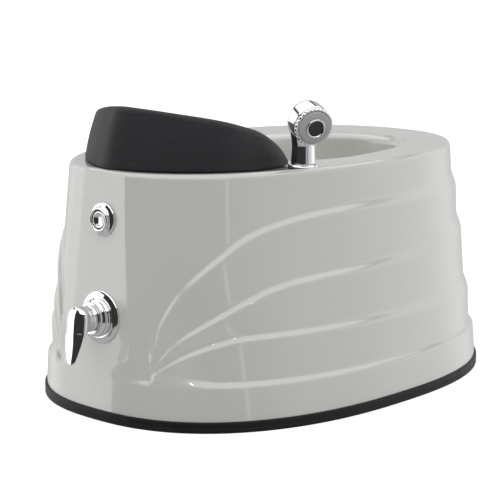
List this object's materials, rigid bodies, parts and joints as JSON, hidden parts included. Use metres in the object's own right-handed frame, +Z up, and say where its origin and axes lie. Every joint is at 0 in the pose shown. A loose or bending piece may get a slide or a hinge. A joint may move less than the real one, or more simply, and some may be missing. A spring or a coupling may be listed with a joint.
{
  "type": "foot spa basin",
  "caption": "Free-standing oval foot spa tub with fanned side ridges, padded footrest, lever mixer, air button, pull-out hand shower, drain and water-jet pump.",
  "frame": {"origin": "on the floor at the middle of the tub's base", "axes": "+Z up, +Y from the nose with the controls towards the client's end, +X towards the side with the hand shower"},
  "size_m": [0.5646, 0.8008, 0.4573],
  "materials": {
    "gelcoat": "glossy moulded gelcoat",
    "trim_rubber": "satin black rubber",
    "plywood": "sealed plywood",
    "vinyl": "matte grained polyurethane skin on foam",
    "board_plastic": "black board",
    "chrome": "polished chrome plate",
    "brass": "cast brass",
    "steel": "zinc plated and stainless steel",
    "white_plastic": "moulded plumbing plastic",
    "grey_plastic": "grey moulded plastic",
    "black_plastic": "gloss black plastic",
    "motor_paint": "dark painted motor casing"
  },
  "bodies": {
    "tub": {"outer_shell": "gelcoat", "bowl_deck": "gelcoat", "base_trim": "trim_rubber", "base_board": "plywood", "base_screws": "steel", "pin_grommets": "trim_rubber", "mixer_plate": "chrome", "mixer_body": "brass", "mixer_locknut": "brass", "mixer_cartridge": "white_plastic", "bonnet_nut": "chrome", "hot_inlet": "brass", "cold_inlet": "brass", "hose_outlet": "brass", "button_housing": "chrome", "button_locknut": "grey_plastic", "button_bellows": "trim_rubber", "air_tube": "grey_plastic", "air_switch": "grey_plastic", "shower_holder": "chrome", "shower_gasket": "trim_rubber", "shower_locknut": "grey_plastic", "shower_hose": "steel", "drain_flange": "chrome", "drain_gasket": "trim_rubber", "drain_body": "white_plastic", "drain_locknut": "grey_plastic", "drain_tail": "white_plastic", "suction_fitting": "white_plastic", "suction_cover": "white_plastic", "suction_pipe": "white_plastic", "pump_housing": "black_plastic", "pump_motor": "motor_paint", "pump_bracket": "steel", "pump_screws": "steel", "pressure_pipe": "white_plastic", "jet_body_left": "white_plastic", "jet_body_right": "white_plastic", "cable_gland": "black_plastic"},
    "footrest": {"footrest_pad": "vinyl", "footrest_board": "board_plastic", "footrest_pins": "steel"},
    "temperature_hub": {"lever_hub": "chrome"},
    "lever": {"mixer_lever": "chrome", "lever_screw": "steel"},
    "air_button": {"button_cap": "chrome"},
    "hose_end": {"hose_nut": "chrome"},
    "hand_shower": {"shower_stem": "chrome", "shower_head": "chrome", "nozzle_plate": "grey_plastic", "outlet_ring": "chrome", "centre_outlet": "black_plastic"},
    "spray_selector": {"spray_ring": "chrome"},
    "stopper": {"drain_stopper": "chrome"},
    "pump_rotor": {"pump_shaft": "steel", "pump_impeller": "white_plastic"},
    "left_jet": {"jet_nozzle_left": "chrome"},
    "right_jet": {"jet_nozzle_right": "chrome"}
  },
  "joints": [
    {"name": "footrest_lift", "type": "slide", "parent": "tub", "child": "footrest", "axis": [0, 0, 1], "range_m": [0, 0.06]},
    {"name": "temperature_turn", "type": "hinge", "parent": "tub", "child": "temperature_hub", "pos_m": [0, -0.38291, 0.15055], "axis": [0, -0.9982, 0.0597], "range_deg": [-45, 45]},
    {"name": "lever_lift", "type": "hinge", "parent": "temperature_hub", "child": "lever", "pos_m": [0, -0.38291, 0.15055], "axis": [-1, 0, 0], "range_deg": [0, 22]},
    {"name": "air_button_press", "type": "slide", "parent": "tub", "child": "air_button", "axis": [0, 0.9982, -0.0597], "range_m": [0, 0.005], "stiffness_N_per_m": 400, "springref_m": -0.003, "deforming": ["button_bellows"]},
    {"name": "shower_pull", "type": "slide", "parent": "tub", "child": "hose_end", "axis": [0, 0, 1], "range_m": [0, 0.2], "deforming": ["shower_hose"]},
    {"name": "shower_swivel", "type": "hinge", "parent": "hose_end", "child": "hand_shower", "pos_m": [0.182, -0.124, 0.33], "axis": [0, 0, 1], "range_deg": [-90, 90]},
    {"name": "spray_select", "type": "hinge", "parent": "hand_shower", "child": "spray_selector", "pos_m": [0.21527, -0.14118, 0.42082], "axis": [0.8532, -0.4406, -0.2791], "range_deg": [0, 60]},
    {"name": "stopper_lift", "type": "slide", "parent": "tub", "child": "stopper", "axis": [0, 0, 1], "range_m": [0, 0.008]},
    {"name": "pump_spin", "type": "hinge", "parent": "tub", "child": "pump_rotor", "pos_m": [-0.095, -0.2, 0.125], "axis": [0, 1, 0], "continuous": true},
    {"name": "left_jet_turn", "type": "hinge", "parent": "tub", "child": "left_jet", "pos_m": [-0.04421, -0.05712, 0.22], "axis": [0.3109, 0.9432, 0.1168], "range_deg": [-90, 90]},
    {"name": "right_jet_turn", "type": "hinge", "parent": "tub", "child": "right_jet", "pos_m": [0.04421, -0.05712, 0.22], "axis": [-0.3109, 0.9432, 0.1168], "range_deg": [-90, 90]}
  ]
}
